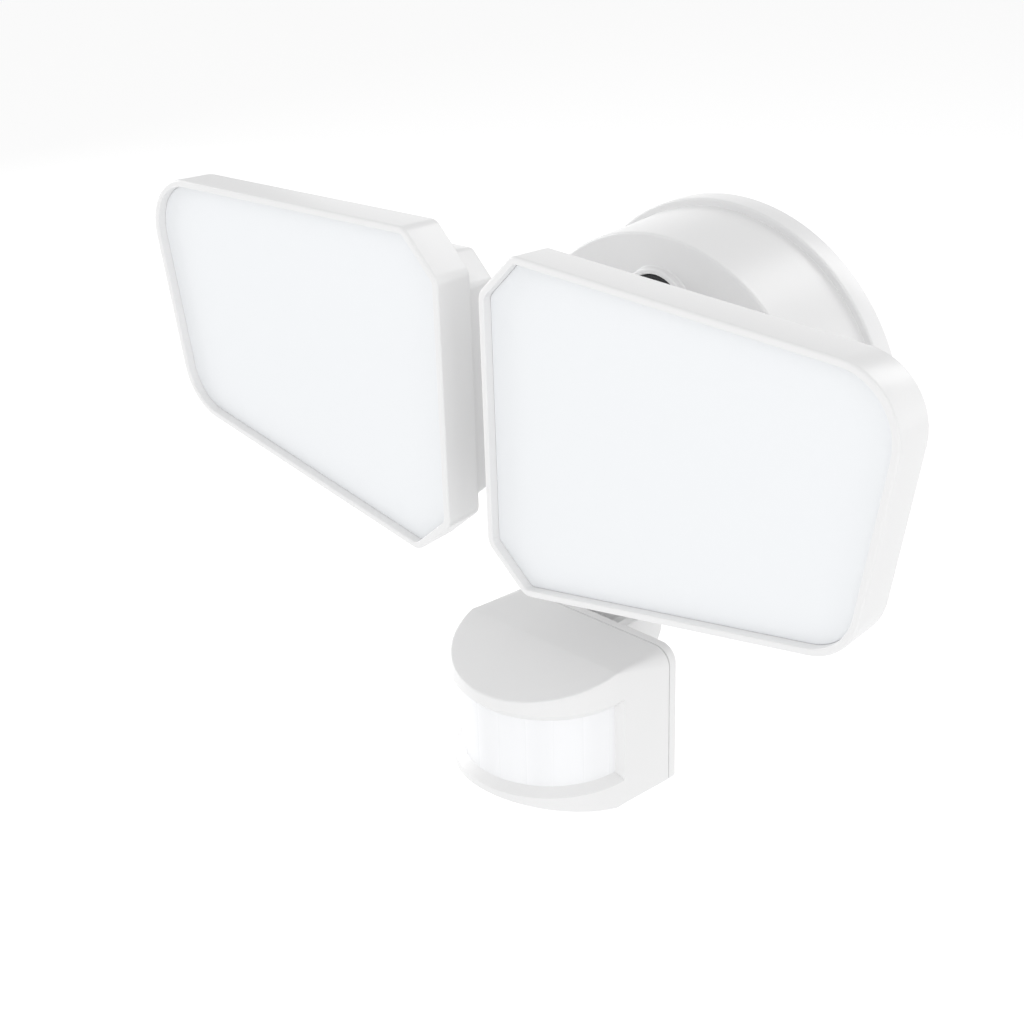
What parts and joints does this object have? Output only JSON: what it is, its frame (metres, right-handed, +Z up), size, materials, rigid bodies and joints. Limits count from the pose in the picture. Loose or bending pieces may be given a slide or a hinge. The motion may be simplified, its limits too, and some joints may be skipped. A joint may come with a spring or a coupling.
{
  "type": "twin-head motion-activated floodlight",
  "caption": "White wall floodlight with flat chamfered LED heads on a round canopy and a D-shaped motion sensor below; heads and sensor pan and tilt.",
  "frame": {"origin": "centre of the canopy's wall face, on the wall plane", "axes": "+X to the viewer's right along the wall, -Y out of the wall towards the lit area, +Z up"},
  "size_m": [0.263, 0.117, 0.1718],
  "materials": {
    "white_enamel": "smooth white powder coat, satin",
    "white_plastic": "white moulded plastic, satin",
    "diffuser": "milky diffusing plastic, satin",
    "fresnel_lens": "thin translucent white polyethylene with fine ribs",
    "black_rubber": "matt black rubber",
    "grey_rubber": "grey foam rubber",
    "zinc_plated_steel": "bright zinc plate",
    "circuit_board": "green solder mask",
    "led_board_white": "white solder mask",
    "green_screw": "green dyed plating",
    "black_plastic": "black potted case"
  },
  "bodies": {
    "base": {"canopy_shell": "white_enamel", "wall_gasket": "grey_rubber", "crossbar": "zinc_plated_steel", "ground_screw": "green_screw", "mounting_bolt": "zinc_plated_steel", "bolt_cap": "white_plastic", "lamp_arm": "white_enamel", "lamp_arm_nut": "zinc_plated_steel", "lamp_arm_seal": "black_rubber", "sensor_stem": "white_enamel", "sensor_stem_nut": "zinc_plated_steel", "sensor_stem_seal": "black_rubber", "sensor_pan_pin": "zinc_plated_steel", "led_driver": "black_plastic", "terminal_block": "white_plastic", "left_tilt_bolt": "zinc_plated_steel", "right_tilt_bolt": "zinc_plated_steel"},
    "left_knuckle": {"left_knuckle": "white_enamel"},
    "right_knuckle": {"right_knuckle": "white_enamel"},
    "left_head": {"left_head_frame": "white_enamel", "left_diffuser": "diffuser", "left_diffuser_seal": "black_rubber", "left_reflector": "white_plastic", "left_led_board": "led_board_white", "left_rear_housing": "white_enamel", "left_pan_pin": "zinc_plated_steel", "left_screw_1": "zinc_plated_steel", "left_screw_2": "zinc_plated_steel", "left_screw_3": "zinc_plated_steel", "left_screw_4": "zinc_plated_steel"},
    "right_head": {"right_head_frame": "white_enamel", "right_diffuser": "diffuser", "right_diffuser_seal": "black_rubber", "right_reflector": "white_plastic", "right_led_board": "led_board_white", "right_rear_housing": "white_enamel", "right_pan_pin": "zinc_plated_steel", "right_screw_1": "zinc_plated_steel", "right_screw_2": "zinc_plated_steel", "right_screw_3": "zinc_plated_steel", "right_screw_4": "zinc_plated_steel"},
    "sensor_arm": {"sensor_arm": "white_enamel"},
    "sensor": {"sensor_front_shell": "white_plastic", "sensor_lens": "fresnel_lens", "sensor_rear_shell": "white_plastic", "sensor_tilt_pin": "zinc_plated_steel", "sensor_screw_1": "zinc_plated_steel", "sensor_screw_2": "zinc_plated_steel", "sensor_board": "circuit_board", "control_board": "circuit_board", "pir_element": "zinc_plated_steel", "photocell": "fresnel_lens"},
    "time_dial": {"time_dial": "white_plastic"},
    "range_dial": {"range_dial": "white_plastic"}
  },
  "joints": [
    {"name": "left_tilt", "type": "hinge", "parent": "base", "child": "left_knuckle", "pos_m": [-0.027, -0.062, 0.026], "axis": [1, 0, 0], "range_deg": [-35, 40]},
    {"name": "right_tilt", "type": "hinge", "parent": "base", "child": "right_knuckle", "pos_m": [0.027, -0.062, 0.026], "axis": [1, 0, 0], "range_deg": [-35, 40]},
    {"name": "left_pan", "type": "hinge", "parent": "left_knuckle", "child": "left_head", "pos_m": [-0.0333, -0.081, 0.026], "axis": [0, 0, -1], "range_deg": [-10, 50]},
    {"name": "right_pan", "type": "hinge", "parent": "right_knuckle", "child": "right_head", "pos_m": [0.0333, -0.081, 0.026], "axis": [0, 0, 1], "range_deg": [-10, 50]},
    {"name": "sensor_pan", "type": "hinge", "parent": "base", "child": "sensor_arm", "pos_m": [0, -0.0525, -0.0478], "axis": [0, 0, 1], "range_deg": [-35, 35]},
    {"name": "sensor_tilt", "type": "hinge", "parent": "sensor_arm", "child": "sensor", "pos_m": [0, -0.0555, -0.06], "axis": [1, 0, 0], "range_deg": [-15, 30]},
    {"name": "time_dial_turn", "type": "hinge", "parent": "sensor", "child": "time_dial", "pos_m": [-0.01, -0.077, -0.0885], "axis": [0, 0, 1], "range_deg": [-135, 135]},
    {"name": "range_dial_turn", "type": "hinge", "parent": "sensor", "child": "range_dial", "pos_m": [0.01, -0.077, -0.0885], "axis": [0, 0, 1], "range_deg": [-135, 135]}
  ]
}
